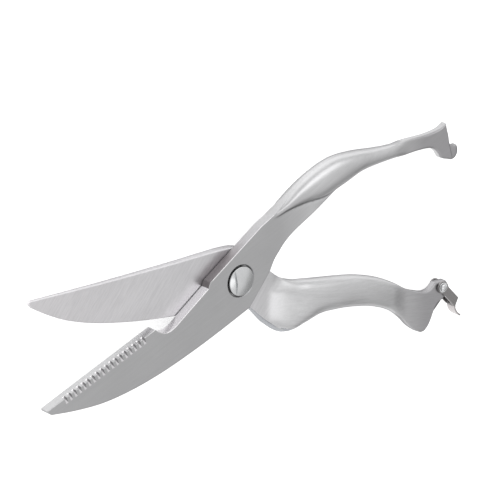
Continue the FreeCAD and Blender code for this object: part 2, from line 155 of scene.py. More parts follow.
class ShearsStage(bpy.types.PropertyGroup):
    """Floor, light and camera"""
    distance: FloatProperty(
        name="Camera distance", description="From the pivot's front face to the camera",
        default=1.6, unit="LENGTH")
    lens: FloatProperty(
        name="Lens", description="Focal length", default=266.1 * MM, unit="CAMERA")
    floor_colour: colour_setting("Floor", "#F6F6F6", "Colour of the plain floor")
    floor_glow: FloatProperty(
        name="Floor glow", description="Light that the floor gives off by itself, as a light table does",
        default=0.55, min=0)
    sky: FloatProperty(
        name="Sky strength", description="Strength of the even light from all round", default=0.82, min=0)
    corner: FloatProperty(
        name="Unlit corner", description="Share of the sky's light left in the unlit corner of the studio",
        default=0.45, min=0)
    strip: FloatProperty(
        name="Strip light", description="Power of the long soft box on the front handle's side, in watts",
        default=2.8, min=0)
    top: FloatProperty(
        name="Top light", description="Power of the soft box overhead, in watts",
        default=1.0, min=0)


# ---------------------------------------------------------------- curves and smooth steps

def hermite(knots, at):
    """
    A smooth curve through knots, rows of (s, values...), read at the places s = at.
    Between two knots it is a cubic that has, at each knot, the slope of the parabola through that knot
    and its two neighbours. At the two ends it has the slope of the first or last chord.
    """
    knots = np.asarray(knots, float)
    s = knots[:, 0]
    values = knots[:, 1:]
    step = np.diff(s)[:, None]
    chord = np.diff(values, axis=0) / step
    slope = np.empty_like(values)
    slope[0] = chord[0]
    slope[-1] = chord[-1]
    slope[1:-1] = (chord[:-1] * step[1:] + chord[1:] * step[:-1]) / (step[1:] + step[:-1])
    i = np.clip(np.searchsorted(s, at, side="right") - 1, 0, len(s) - 2)
    h = step[i]
    t = ((np.asarray(at) - s[i]) / (s[i + 1] - s[i]))[:, None]
    return ((1 + 2 * t) * (1 - t) ** 2 * values[i] + t * (1 - t) ** 2 * h * slope[i]
            + t ** 2 * (3 - 2 * t) * values[i + 1] + t ** 2 * (t - 1) * h * slope[i + 1])


def rail(runs, at):
    """A line of smooth runs that meet at corners: each run is a list of knots for hermite."""
    at = np.asarray(at, float)
    out = np.empty((len(at), len(runs[0][0]) - 1))
    for index, knots in enumerate(runs):
        inside = at >= knots[0][0] - 1e-9 if index else np.ones(len(at), bool)
        if inside.any():
            clipped = np.minimum(at[inside], knots[-1][0])
            out[inside] = hermite(knots, clipped)
    return out


def closed_curve(points, count):
    """A smooth closed curve through points, in count equal steps of the points' own numbering."""
    points = np.asarray(points, float)
    number = len(points)
    wrapped = np.vstack([points[-3:], points, points[:3]])
    s = np.arange(-3, number + 3)
    return hermite(np.column_stack([s, wrapped]), np.arange(count) * number / count)


def ease(low, high, x):
    """0 below low, 1 above high, and a cubic with flat ends between them."""
    t = np.clip((x - low) / (high - low), 0, 1)
    return t * t * (3 - 2 * t)


def blend_max(a, b, width):
    """The higher of a and b, with a parabola of that width where they cross: a fillet."""
    near = np.maximum(width - np.abs(a - b), 0) / width
    return np.maximum(a, b) + near * near * width / 4


def stations(runs, step, end_radius):
    """Places along a half: even steps, every corner of its rails, and close steps at rounded ends."""
    low = min(run[0][0] for run in runs)
    high = max(run[-1][0] for run in runs)
    even = np.linspace(low, high, int((high - low) / step) + 2)
    corners = [run[0][0] for run in runs] + [run[-1][0] for run in runs]
    beside = [corner + side for corner in corners for side in (-0.02, 0.02)]
    turn = end_radius * (1 - np.cos(np.linspace(0, math.pi / 2, 7)))
    places = np.concatenate([even, corners, beside, low + turn, high - turn])
    places = np.unique(np.round(np.clip(places, low, high), 4))
    return places[np.concatenate([[True], np.diff(places) > 0.005])]


# ---------------------------------------------------------------- meshes

def stand(name, data):
    """Puts an object of a mesh, a light or a camera into the scene."""
    piece = bpy.data.objects.new(name, data)
    bpy.context.scene.collection.objects.link(piece)
    return piece


def make_mesh(name, points, faces, smooth_angle=35.0):
    """Points in millimetres and faces as lists of indices become an object with outward faces."""
    mesh = bpy.data.meshes.new(name)
    mesh.from_pydata((np.asarray(points) * MM).tolist(), [], faces)
    work = bmesh.new()
    work.from_mesh(mesh)
    bmesh.ops.remove_doubles(work, verts=work.verts, dist=1e-7)
    bmesh.ops.recalc_face_normals(work, faces=work.faces)
    work.to_mesh(mesh)
    work.free()
    piece = stand(name, mesh)
    shade(piece, smooth_angle)
    return piece


def shade(piece, smooth_angle):
    """Smooth faces, with an edge kept sharp where its two faces turn by more than the angle."""
    mesh = piece.data
    mesh.shade_smooth()
    mesh.set_sharp_from_angle(angle=math.radians(smooth_angle))


def grid_faces(rows, columns, wrap=True):
    """Quads of a grid of points, numbered row by row, that closes on itself across each row."""
    i = np.arange(rows - 1)[:, None]
    j = np.arange(columns if wrap else columns - 1)[None, :]
    k = (j + 1) % columns
    quads = np.stack([i * columns + j, i * columns + k, (i + 1) * columns + k, (i + 1) * columns + j], -1)
    return quads.reshape(-1, 4).tolist()


def tube(name, rings, smooth_angle=35.0):
    """Rings of points, one after another, joined into a closed skin with a flat face on each end."""
    rings = np.asarray(rings, float)
    rows, columns = rings.shape[:2]
    faces = grid_faces(rows, columns)
    faces.append(list(range(columns)))
    faces.append(list(range((rows - 1) * columns, rows * columns))[::-1])
    return make_mesh(name, rings.reshape(-1, 3), faces, smooth_angle)


def lathe(name, profile, centre=(0.0, 0.0), steps=96, smooth_angle=35.0):
    """
    A profile of (radius, z) turned round a vertical axis: x = radius cos t, y = radius sin t.
    A radius of 0 at either end closes the skin in a pole, and a profile that comes back to its start
    closes it as a ring.
    """
    profile = np.asarray(profile, float)
    turn = np.linspace(0, 2 * math.pi, steps, endpoint=False)
    x = centre[0] + profile[:, :1] * np.cos(turn)
    y = centre[1] + profile[:, :1] * np.sin(turn)
    z = np.broadcast_to(profile[:, 1:], x.shape)
    points = np.stack([x, y, z], -1)
    return make_mesh(name, points.reshape(-1, 3), grid_faces(len(profile), steps), smooth_angle)


def cut(piece, cutter, smooth_angle=35.0):
    """Takes the cutter out of the piece and deletes the cutter."""
    boolean = piece.modifiers.new("cut", "BOOLEAN")
    boolean.operation = "DIFFERENCE"
    boolean.solver = "EXACT"
    boolean.object = cutter
    bpy.context.view_layer.update()
    graph = bpy.context.evaluated_depsgraph_get()
    mesh = bpy.data.meshes.new_from_object(piece.evaluated_get(graph))
    piece.modifiers.clear()
    old = piece.data
    piece.data = mesh
    bpy.data.meshes.remove(old)
    spare = cutter.data
    bpy.data.objects.remove(cutter)
    bpy.data.meshes.remove(spare)
    shade(piece, smooth_angle)


def place_half(piece, angle):
    """Turns a half's mesh about the pivot and lifts its sliding plane to where the frame has it."""
    piece.data.transform(Matrix.Rotation(angle, 4, "Z"))
    piece.data.transform(Matrix.Translation((0, 0, SLIDE_Z * MM)))


# ---------------------------------------------------------------- the two halves

def strip(name, places, upper, lower, heights, arris, end_radius, bow=None, across=44):
    """
    A half of the shears as a strip between two rails.
    At each place s, the section runs straight from the lower rail to the upper rail, plus the bow if
    there is one. Its points lie (1 + sin a) / 2 of the way across, in even steps of a from -90 to 90
    degrees, so they crowd at both edges. The front and back faces take their z from heights(x, y).
    Quarter turns of the arris radius join them to the two edges, and the thickness rounds off to the
    two ends.
    """
    low = rail(lower, places)
    high = rail(upper, places)
    width = np.linalg.norm(high - low, axis=1)
    u = (np.sin(np.linspace(-math.pi / 2, math.pi / 2, across)) + 1) / 2
    radius = np.minimum(arris(places), width / 2.2)
    inset = (radius / width)[:, None]
    v = inset + (1 - 2 * inset) * u
    quarter = np.linspace(0, math.pi / 2, 6)[1:]

    def plan(v):
        flat = low[:, None] + (high - low)[:, None] * v[..., None]
        if bow is not None:
            flat = flat + bow(places, v)
        return flat

    face = plan(v)
    front, back = heights(face[..., 0], face[..., 1])
    from_end = np.minimum(places - places[0], places[-1] - places)
    fall = np.clip(1 - from_end / end_radius, 0, 1)
    middle = (front + back) / 2
    half = (front - back) / 2
    keep = np.maximum(half - end_radius * (1 - np.sqrt(1 - fall ** 2))[:, None], half * 0.15)
    front = middle + keep
    back = middle - keep

    def arc(side):
        """The quarter turns from the front face round one edge to the back face."""
        column = -1 if side > 0 else 0
        reach = radius[:, None] * np.sin(quarter)
        drop = np.minimum(radius, keep[:, column])[:, None] * (1 - np.cos(quarter))
        share = v[:, column][:, None] + side * reach / width[:, None]
        flat = plan(share)
        top = np.concatenate([flat, (front[:, column][:, None] - drop)[..., None]], -1)
        under = np.concatenate([flat, (back[:, column][:, None] + drop)[..., None]], -1)
        return np.concatenate([top, under[:, ::-1]], 1)

    front_points = np.concatenate([face, front[..., None]], -1)
    back_points = np.concatenate([face, back[..., None]], -1)
    rings = np.concatenate([front_points, arc(1), back_points[:, ::-1], arc(-1)[:, ::-1]], 1)
    return tube(name, rings)


def bulge(x, y, low, high, middle, half, power):
    """
    Front and back of a rounded grip: a superellipse across it, from low to high about the middle
    height. Past its edges the front falls steeply and the back rises, so that the plate wins.
    """
    q = np.abs((y - (low + high) / 2) / ((high - low) / 2))
    inside = np.clip(1 - np.minimum(q, 1) ** power, 0, 1) ** (1 / power)
    rise = half * inside - np.maximum(q - 1, 0) * 30
    return middle + rise, middle - rise


# Sections of the two grips: x, lower edge, upper edge, middle height, half thickness, power.
# A high power is a flat face with square edges and a power near 2 is an ellipse.
FRONT_GRIP = [
    (24, 17.4, 19, 2.6, 1.2, 3),
    (28, 17, 19.5, 2.6, 2.9, 2.5),
    (33, 16.6, 20.9, 2.5, 4, 2.3),
    (42, 14.7, 23.5, 2.2, 5, 2.2),
    (54, 11.2, 25.2, 1.7, 5.8, 2.2),
    (66, 10.6, 24.8, 1.2, 5.9, 2.2),
    (78, 10.6, 21, 0.7, 5.2, 2.2),
    (90, 8, 15.7, 0.3, 4, 2.3),
    (100, 5.2, 11.9, 0, 2.9, 2.7),
    (108, 2.9, 9.9, 0, 2.1, 4),
]
REAR_GRIP = [
    (19, -19.8, 2.4, -2.42, 1, 7),
    (23, -22.3, -0.3, -2.1, 2.6, 5),
    (28, -25.3, -3.1, -1.7, 4.1, 3.8),
    (35, -27.7, -4.9, -1.2, 5.4, 2.9),
    (42, -25, -5, -0.6, 6, 2.5),
    (50, -21.7, -5.1, -0.2, 6, 2.3),
    (60, -20.5, -5.3, 0, 5.9, 2.3),
    (72, -20.6, -6.1, 0, 5.5, 2.3),
    (84, -22.1, -8.4, 0, 4.7, 2.4),
    (94, -25.3, -11.8, 0, 3.6, 2.7),
    (103, -31, -16, 0, 2.3, 4),
]

LOWER, UPPER = 1, 2


def plain(*points):
    """Knots (s, x, y) from points (x, y), for a stretch where s is x itself."""
    return [(x, x, y) for x, y in points]


def grip_edge(grip, edge, first, last):
    """Knots (s, x, y) on one edge of a grip, at its sections from x = first to x = last."""
    return plain(*((row[0], row[edge]) for row in grip if first <= row[0] <= last))


# Rails of the front half, as runs of knots (s, x, y)
FRONT_UPPER = [
    plain((-110, 0.2), (-48.4, 4)),
    plain((-48.4, 4), (-46.2, 1.1), (-43.6, -0.5), (-41.4, -1), (-38.8, -0.75), (-33.5, 0.8)),
    plain((-33.5, 0.8), (-16.8, 6.1)),
    plain((-16.8, 6.1), (-15.4, 7.9), (-13.6, 8.6)),
    plain((-13.6, 8.6), (18, 17.8)),
    plain((18, 17.8), (25, 19)) + grip_edge(FRONT_GRIP, UPPER, 33, 100)
    + plain((107.1, 10.2), (112, 8.7))
    + [(117, 117.3, 7), (121, 122.5, 5.8), (125, 127, 5.3), (129, 130.2, 6)],
    [(129, 130.2, 6), (133, 130, 3), (137, 129.9, 0), (141, 129.5, -3.5),
     (145, 129.4, -7), (149, 129.2, -11.2)],
]
FRONT_LOWER = [
    plain((-110, -0.9), (-108.6, -2.7)),
    plain((-108.6, -2.7), (-98, -7.4), (-83.4, -12.5), (-67.9, -15.4), (-51.8, -16.7),
          (-34.8, -16.7), (-17.4, -15.9), (0.5, -14.5)),
    plain((0.5, -14.5), (15.6, -4.7)),
    plain((15.6, -4.7), (19.5, -0.9), (23.1, 1.4), (27.8, 4), (33.9, 6.1), (41.8, 7.6), (54.4, 9.8))
    + grip_edge(FRONT_GRIP, LOWER, 66, 100)
    + [(107.1, 107.4, 3.2), (112, 111.6, 1.9), (117, 115.6, 0.6),
       (121, 118, -0.5), (125, 119.7, -1.8), (129, 120.9, -3.4), (133, 121.6, -5),
       (137, 122, -6.4), (141, 122.4, -7.9), (145, 124.2, -9.6), (149, 126.6, -11.2)],
]

# The foot and head of the step in the front half's upper edge
STEP_FOOT, STEP_HEAD = FRONT_UPPER[3][0][1], FRONT_UPPER[3][-1][1]

# Rails of the rear half, and the curve of its end from the lower rail to the upper rail
REAR_UPPER = [
    plain((-110, 0.3), (-109.2, 1.2)),
    plain((-109.2, 1.2), (-90, 3.2), (-73.3, 5), (-50.7, 7.7), (-32.5, 10), (-16, 12.3),
          (-6, 13.5), (-1, 13.7), (4, 12.8), (9, 10.4), (14.5, 6), (20.6, 1.1),
          (25.5, -1.9), (30, -3.9))
    + grip_edge(REAR_GRIP, UPPER, 35, 103)
    + [(109, 109, -17.5), (114, 113.6, -18), (117, 116.2, -17.3),
       (120, 118, -15.9), (123, 119.2, -14.3)],
    [(123, 119.2, -14.3), (126, 122.4, -13.9), (129.5, 126, -14.1), (131, 127.1, -15.3)],
]
REAR_LOWER = [
    plain((-110, -0.4), (-107.8, -2.2)),
    plain((-107.8, -2.2), (-99.9, -5.7), (-90.6, -9), (-82, -11), (-71.7, -12.6), (-60.8, -13.5),
          (-44.2, -14.1), (-31.7, -14), (-15, -13.6), (0, -13.6), (10.8, -14.8)),
    plain((10.8, -14.8), (17.3, -18.8), (24, -22.9), (29, -25.9))
    + grip_edge(REAR_GRIP, LOWER, 35, 94)
    + [(103, 101, -29.4), (109, 105, -33), (114, 107.8, -34.9), (117, 109.6, -35.9),
       (120, 111, -36.6), (123, 112.2, -37), (126, 113, -37.25), (129.5, 114, -37.4),
       (131, 114.8, -37.2)],
]
REAR_END = [
    (0, 114.8, -37.2), (0.05, 115.8, -36.3), (0.15, 117.5, -34.2), (0.28, 118.9, -31),
    (0.40, 119.8, -28), (0.50, 120.8, -25.4), (0.58, 122.2, -23.8), (0.67, 124.1, -22.9),
    (0.79, 126, -21.2), (0.90, 127, -18.4), (1, 127.1, -15.3),
]


def sections(grip, x):
    """Lower edge, upper edge, middle height, half thickness and power of a grip at each x."""
    held = np.clip(x, grip[0][0], grip[-1][0])
    return np.moveaxis(hermite(grip, held.ravel()).reshape(x.shape + (5,)), -1, 0)


def front_heights(sizes):
    """The front half's two faces: a flat plate that the grip grows out of along its outer edge."""
    top = sizes.plate / MM
    low = sizes.slide_gap / MM / 2
    half_end = sizes.handle_end / MM / 2

    def heights(x, y):
        edge_low, edge_high, middle, half, power = sections(FRONT_GRIP, x)
        grip_front, grip_back = bulge(x, y, edge_low, edge_high, middle, half, power)
        # how much of the flat plate is left: it ends early at the outer edge and late in the tongue
        outer = 1 - ease(25, 40, x)
        tongue = 1 - ease(46, 76, x)
        share = outer + (tongue - outer) * (1 - ease(-0.5, 3.0, y - edge_low))
        # before the grip's first section there is only the plate
        only_plate = x < FRONT_GRIP[0][0]
        share = np.where(only_plate, 1.0, share)
        plate_front = middle + (top - middle) * share
        plate_back = middle + (low - middle) * share
        grip_front = np.where(only_plate, low, grip_front)
        grip_back = np.where(only_plate, top, grip_back)
        front = blend_max(plate_front, grip_front, 1.6)
        back = -blend_max(-plate_back, -grip_back, 1.6)
        # the handle's end is a flat plate again
        end = ease(98, 110, x)
        return front + (half_end - front) * end, back + (-half_end - back) * end

    return heights


def rear_heights(sizes):
    """The rear half's two faces: a blade ground thinner to its tip, then a ramp up to a full grip."""
    top = -sizes.slide_gap / MM / 2
    heel = -sizes.rear_plate / MM
    tip = -sizes.rear_tip / MM
    grind = -8.0
    half_end = sizes.handle_end / MM / 2

    def heights(x, y):
        # the ramp's foot bends away from the pivot towards the upper edge
        foot = 4.6 * ease(-10, -3, y)
        middle, half, power = sections(REAR_GRIP, x - foot * (1 - ease(30, 46, x)))[2:]
        edge_low, edge_high = sections(REAR_GRIP, x)[:2]
        grip_front, grip_back = bulge(x, y, edge_low, edge_high, middle, half, power)
        share = 1 - ease(22, 38, x)
        # ground thinner from just past the pivot to the tip
        base = heel + (tip - heel) * np.clip((grind - x) / (grind - REAR_UPPER[0][0][0]), 0, 1)
        plate_front = middle + (top - middle) * share
        plate_back = middle + (base - middle) * share
        # up to the grip's first section there is only the plate
        only_plate = x < REAR_GRIP[0][0] + 0.2
        plate_front = np.where(only_plate, top, plate_front)
        plate_back = np.where(only_plate, base, plate_back)
        grip_front = np.where(only_plate, base, grip_front)
        grip_back = np.where(only_plate, top, grip_back)
        front = blend_max(plate_front, grip_front, 0.9)
        back = -blend_max(-plate_back, -grip_back, 0.9)
        end = ease(92, 106, x)
        return front + (half_end - front) * end, back + (-half_end - back) * end

    return heights


def rear_bow(places, v):
    """How far a section of the rear handle's end bows from straight, as its end curve does."""
    end = np.asarray(REAR_END)
    curve = hermite(end, np.clip(v, 0, 1).ravel()).reshape(v.shape + (2,))
    straight = end[0, 1:] + (end[-1, 1:] - end[0, 1:]) * v[..., None]
    return (curve - straight) * ease(112, 130, places)[:, None, None]


def plate_arris(radius, fade):
    """The arris radius along a half: that of the plate, almost none on the grip, large at the end."""
    handle_radius = 1.2

    def arris(places):
        plate = radius * (1 - 0.92 * ease(fade, fade + 12, places))
        return plate + (handle_radius - plate) * ease(98, 112, places)

    return arris


def serration_cutter(sizes):
    """
    One mesh of wedges, set out along the straight cutting edge and square to it. Each wedge is a
    triangular prism: from the edge it rises to the front face, so it crosses the front arris.
    """
    top = sizes.plate / MM
    tip, corner = (np.array(knot[1:]) for knot in FRONT_UPPER[0])
    along = (corner - tip) / np.linalg.norm(corner - tip)
    outward = np.array([-along[1], along[0]])
    width = sizes.slot_width / MM
    pitch = sizes.slot_pitch / MM
    first = 10.1
    reach = 2.8
    drop = 1.9
    over = 1.0
    count = 18
    section = np.array([(over, top + over), (over, top - drop - over * drop / reach),
                        (-reach - over * reach / drop, top + over)])
    starts = first + pitch * np.arange(count)
    ends = np.array([-0.5, 0.5]) * width
    flat = (tip + (starts[:, None, None, None] + ends[None, :, None, None]) * along
            + section[None, None, :, :1] * outward)
    high = np.broadcast_to(section[:, 1:], flat.shape[:3] + (1,))
    points = np.concatenate([flat, high], -1).reshape(-1, 3)
    wedge = [(0, 1, 2), (5, 4, 3), (0, 3, 4, 1), (1, 4, 5, 2), (2, 5, 3, 0)]
    faces = [[6 * n + i for i in face] for n in range(len(starts)) for face in wedge]
    return make_mesh("serration_cutter", points, faces)


def finish_cad(name, material):
    """A piece of the frame that keeps its own shape takes one of the steels."""
    mesh = frame["nodes"][name].data
    mesh.materials.clear()
    mesh.materials.append(material)


def dress(piece, body, material, nodes):
    """Gives a piece its steel, its body and the frame's pieces it stands for."""
    piece.data.materials.clear()
    piece.data.materials.append(material)
    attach(piece, body)
    if nodes:
        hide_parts(*nodes)


def lean_out(piece):
    """
    The rear half's lower edge under the ramp is drafted: towards the back face it leans out past its
    rail. The lean comes and goes along x, falls off away from the rail, and grows from nothing at the
    crest to its most at the foot.
    """
    most = 1.8
    reach = 3.0
    crest = 1.5
    foot = -2.5
    mesh = piece.data
    points = np.empty(len(mesh.vertices) * 3, np.float32)
    mesh.vertices.foreach_get("co", points)
    points = points.reshape(-1, 3) / MM
    x, y, z = points.T
    knots = np.array(REAR_LOWER[-1][:7])
    edge = np.interp(x, knots[:, 1], knots[:, 2])
    along = ease(12, 24, x) * (1 - ease(31, 46, x))
    lean = most * along * (1 - ease(0.3, reach, np.abs(y - edge))) * (1 - ease(foot, crest, z))
    # outwards is about square to the rail there
    points[:, 0] -= 0.5 * lean
    points[:, 1] -= 0.85 * lean
    mesh.vertices.foreach_set("co", (points * MM).ravel())
    mesh.update()


def faces_of(piece):
    """Centres in millimetres and outward ways of a piece's faces."""
    mesh = piece.data
    centre = np.empty(len(mesh.polygons) * 3, np.float32)
    mesh.polygons.foreach_get("center", centre)
    way = np.empty_like(centre)
    mesh.polygons.foreach_get("normal", way)
    return centre.reshape(-1, 3) / MM, way.reshape(-1, 3)


def zone(piece, material, chosen):
    """Gives the chosen faces of a piece a steel of their own."""
    mesh = piece.data
    if material.name not in mesh.materials:
        mesh.materials.append(material)
    index = np.empty(len(mesh.polygons), np.int32)
    mesh.polygons.foreach_get("material_index", index)
    index[chosen] = mesh.materials.find(material.name)
    mesh.polygons.foreach_set("material_index", index)


# ---------------------------------------------------------------- steels

def add(tree, kind, inputs=None, **settings):
    """Adds a node, sets its settings, and sets or links its inputs."""
    node = tree.nodes.new("ShaderNode" + kind)
    for key, value in settings.items():
        setattr(node, key, value)
    for key, value in (inputs or {}).items():
        if isinstance(value, bpy.types.NodeSocket):
            tree.links.new(value, node.inputs[key])
        else:
            node.inputs[key].default_value = value
    return node


def blank_steel(name):
    """A new material, its tree, and the place in metres that its patterns follow."""
    material = bpy.data.materials.new(name)
    material.use_nodes = True
    tree = material.node_tree
    tree.nodes.clear()
    return material, tree, add(tree, "TexCoord").outputs["Object"]


def ranged(tree, noise, low, high):
    """The middle part of a noise, where almost all of it lies, stretched from low to high."""
    return add(tree, "MapRange", {
        "Value": noise, "From Min": 0.3, "From Max": 0.7, "To Min": low, "To Max": high}).outputs[0]


def colours(finish, *names):
    """The named colours of the finish."""
    return [tuple(getattr(finish, name + "_colour")) for name in names]


def even(colour):
    """Tones that are the same from end to end."""
    return [(-20, colour), (20, colour)]


def ground_steel(name, tones, roughness, strokes, stroke_mm=0.30, stroke_long=30.0, tone=0.03,
                 bump=0.12, handover=(14, 30), rim=1.0):
    """
    Stainless steel ground on a belt: straight strokes much longer than they are wide, all one way.
    The eye sees faint lighter and darker lines, a highlight that smears across them, and slow soft
    clouds where the belt pressed harder. tones are (x in mm, colour) along the piece, because each
    stretch is finished on its own wheel; where a piece is given painted shade or a painted highlight,
    the tones carry it too. strokes are the strokes' two directions, the second one past the handover.
    rim is the share of the light left where a face is seen almost edge on, which paints a shade line
    round the rounded grips.
    """
    material, tree, place = blank_steel(name)
    x = add(tree, "SeparateXYZ", {0: place}).outputs[0]
    cells = 1 / (stroke_mm * MM)
    past = add(tree, "MapRange", {
        "Value": x, "From Min": handover[0] * MM, "From Max": handover[1] * MM}).outputs[0]
    layers = []
    for angle in strokes:
        turned = add(tree, "Mapping", {"Vector": place, "Rotation": (0, 0, -angle)}).outputs[0]
        # one noise cell is stroke_mm wide and stroke_long times as long
        stretched = add(tree, "Mapping", {
            "Vector": turned, "Scale": (cells / stroke_long, cells, cells)}).outputs[0]
        fine = add(tree, "TexNoise", {"Vector": stretched, "Scale": 1.0, "Detail": 3.0, "Roughness": 0.6})
        broad = add(tree, "TexNoise", {"Vector": stretched, "Scale": 0.25, "Detail": 2.0})
        layers.append((fine.outputs[0], broad.outputs[0]))
    fine, broad = (
        add(tree, "Mix", {0: past, 2: first, 3: second}, data_type="FLOAT").outputs[0]
        for first, second in zip(*layers))
    cloud = add(tree, "TexNoise", {"Vector": place, "Scale": 1 / (25 * MM), "Detail": 2.0}).outputs[0]
    lines = add(tree, "Math", {
        0: ranged(tree, fine, 1 - tone, 1 + tone), 1: ranged(tree, broad, 1 - tone, 1 + tone)},
        operation="MULTIPLY").outputs[0]
    amount = add(tree, "Math", {0: lines, 1: ranged(tree, cloud, 0.97, 1.03)},
                 operation="MULTIPLY").outputs[0]
    first_x, last_x = tones[0][0], tones[-1][0]
    ramp = add(tree, "ValToRGB", {0: add(tree, "MapRange", {
        "Value": x, "From Min": first_x * MM, "From Max": last_x * MM}).outputs[0]})
    for index, (at, colour) in enumerate(tones):
        share = (at - first_x) / (last_x - first_x)
        stops = ramp.color_ramp.elements
        stop = stops[0] if index == 0 else stops[-1] if index == len(tones) - 1 else stops.new(share)
        stop.position = share
        stop.color = (*colour, 1)
    shade_of = add(tree, "VectorMath", {0: ramp.outputs[0], "Scale": amount}, operation="SCALE")
    rough = add(tree, "Math", {
        0: ranged(tree, broad, roughness - 0.04, roughness + 0.04), 1: ranged(tree, cloud, -0.03, 0.03)},
        operation="ADD")
    relief = add(tree, "Bump", {"Height": fine, "Strength": bump, "Distance": 0.02 * MM})
    # the rim tint darkens edge-on reflections as painted shade
    surface = add(tree, "BsdfPrincipled", {
        "Base Color": shade_of.outputs[0], "Metallic": 1.0, "Roughness": rough.outputs[0],
        "Specular Tint": (rim, rim, rim, 1), "Normal": relief.outputs[0]})
    add(tree, "OutputMaterial", {"Surface": surface.outputs[0]})
    return material


def polished_steel(name, colour, roughness, turned_mm=0.25):
    """
    Stainless steel turned on a lathe and buffed: a clear soft highlight, with hair-fine marks left in
    it and small soft patches from handling.
    """
    material, tree, place = blank_steel(name)
    hair = add(tree, "TexNoise", {"Vector": place, "Scale": 1 / (turned_mm * MM), "Detail": 2.0})
    patch = add(tree, "TexNoise", {"Vector": place, "Scale": 1 / (3 * MM), "Detail": 2.0})
    rough = ranged(tree, patch.outputs[0], roughness - 0.04, roughness + 0.06)
    tint = ranged(tree, patch.outputs[0], 0.93, 1.0)
    shade_of = add(tree, "VectorMath", {0: colour, "Scale": tint}, operation="SCALE")
    relief = add(tree, "Bump", {"Height": hair.outputs[0], "Strength": 0.08, "Distance": 0.01 * MM})
    surface = add(tree, "BsdfPrincipled", {
        "Base Color": shade_of.outputs[0], "Metallic": 1.0, "Roughness": rough,
        "Normal": relief.outputs[0]})
    add(tree, "OutputMaterial", {"Surface": surface.outputs[0]})
    return material


# ---------------------------------------------------------------- operators

class SHEARS_OT_front_half(bpy.types.Operator):
    """Builds the serrated front half with its notch, screw well, grip, hook and nub"""
    bl_idname = "shears.front_half"
    bl_label = "Front Half"

    def execute(self, context):
        sizes = context.scene.shears_sizes
        finish = context.scene.shears_finish
        places = stations(FRONT_UPPER + FRONT_LOWER, STATION_STEP, END_RADIUS)
        piece = strip("front_half_steel", places, FRONT_UPPER, FRONT_LOWER, front_heights(sizes),
                      plate_arris(sizes.arris / MM, FRONT_FADE), END_RADIUS)
        top = sizes.plate / MM
        well = (SCREW_HIGH.x - SCREW_LOW.x) / 2 + sizes.well_gap / MM
        floor = top - sizes.well_depth / MM
        lip = 0.35
        cut(piece, lathe("bore_cutter", [
            (0, -2), (FRONT_BORE, -2), (FRONT_BORE, floor), (well, floor), (well, top - lip),
            (well + lip, top), (well + lip, top + 2), (0, top + 2)], steps=128))
        cut(piece, serration_cutter(sizes))
        plate, grip, tail = colours(finish, "front", "grip", "end")
        steel = ground_steel(
            "satin_ground_stainless_front",
            [(-110, plate), (24, plate), (42, grip), (92, grip), (112, tail), (134, tail)],
            finish.satin, (math.radians(16), math.radians(20)), rim=finish.rim)
        dress(piece, "front", steel, ["front_half"])
        self.finish_edges(piece, finish, top)
        place_half(piece, sizes.half_open)

        # the nub: a rounded pad, its height falling to a round edge as (1 - r^5)^(1/3)
        outline = closed_curve([
            (128.6, -4.6), (130.9, -5.9), (131.9, -6.4), (132.8, -6.7), (133.4, -7.7), (133.4, -9.2),
            (132.8, -10.8), (131.8, -12.0), (130.3, -12.7), (128.4, -12.6), (127.0, -11.2),
            (126.9, -8.0)], 72)
        middle = np.array([130.0, -9.4])
        radius = np.sin(np.linspace(0.0, math.pi / 2, 20))
        flat = middle + (outline - middle) * radius[:, None, None]
        rise = sizes.nub / MM / 2 * (1 - radius ** 5) ** (1 / 3)
        upper = np.concatenate([flat, np.broadcast_to(rise[:, None, None], flat.shape[:2] + (1,))], -1)
        lower = upper[::-1] * (1, 1, -1)
        rings = np.concatenate([upper, lower[1:]])
        nub = make_mesh("front_nub_steel", rings.reshape(-1, 3), grid_faces(*rings.shape[:2]))
        dress(nub, "front", steel, [])
        place_half(nub, sizes.half_open)
        return {"FINISHED"}

    def finish_edges(self, piece, finish, top):
        """Gives the upper edge, its arris, the serrations and the handle's end steels of their own."""
        plate, grip, tail, edge, forged = colours(finish, "front", "grip", "end", "edge", "forged")
        lengthways = (math.radians(16),) * 2
        crossways = (math.radians(106),) * 2
        # freshly ground, and lighter as a painted highlight: a bright band from the notch to the step, and
        # a painted highlight along the arris past the step
        ground = ground_steel(
            "bright_ground_edge", [(-110, plate), (-52, plate), (-44, edge), (14, edge), (26, grip)],
            0.28, lengthways, stroke_mm=0.4, stroke_long=8.0, tone=0.04, bump=0.0)
        # painted shade: a dull dark face past the step that clears towards the grip. The handle end's side
        # faces take the same rough steel, in the plate's colour
        skin = ground_steel(
            "as_forged_edge", [(-20, forged), (-4, forged), (6, tail), (24, plate)],
            0.42, lengthways, stroke_mm=0.4, stroke_long=6.0, tone=0.05, bump=0.05)
        # cut by a wheel, and lighter as a painted highlight: a bright bar in the floor of each serration
        bright = ground_steel(
            "bright_cut_serrations", even(edge),
            0.24, crossways, stroke_mm=0.3, stroke_long=6.0, tone=0.04, bump=0.0)
        centre, way = faces_of(piece)
        x, y, z = centre.T
        # a face with rise 1 looks to the front, and one with rise 0 looks sideways
        rise = way[:, 2]
        upper = way[:, 1] > 0.25
        arris = upper & (rise > 0.45) & (rise < 0.97) & (y > 8)
        floors = upper & (rise > 0.6) & (rise < 0.95) & (z < top - 0.25)
        # painted highlight: the lighter ground band from the notch to the step
        zone(piece, ground, upper & (x < STEP_FOOT - 0.1) & (rise < 0.9) & (rise > -0.3))
        # painted highlight along the arris past the step
        zone(piece, ground, arris & (x > STEP_HEAD - 0.1) & (x < FRONT_FADE))
        # painted highlight on the serrations' floors
        zone(piece, bright, floors & (x > -102) & (x < -50))
        zone(piece, skin, (np.abs(rise) < 0.3) & (x > 104))
        # painted shade on the edge from the step's foot to the grip
        zone(piece, skin, upper & (x > STEP_FOOT - 0.2) & (x < FRONT_GRIP[0][0]) & (rise < 0.45))


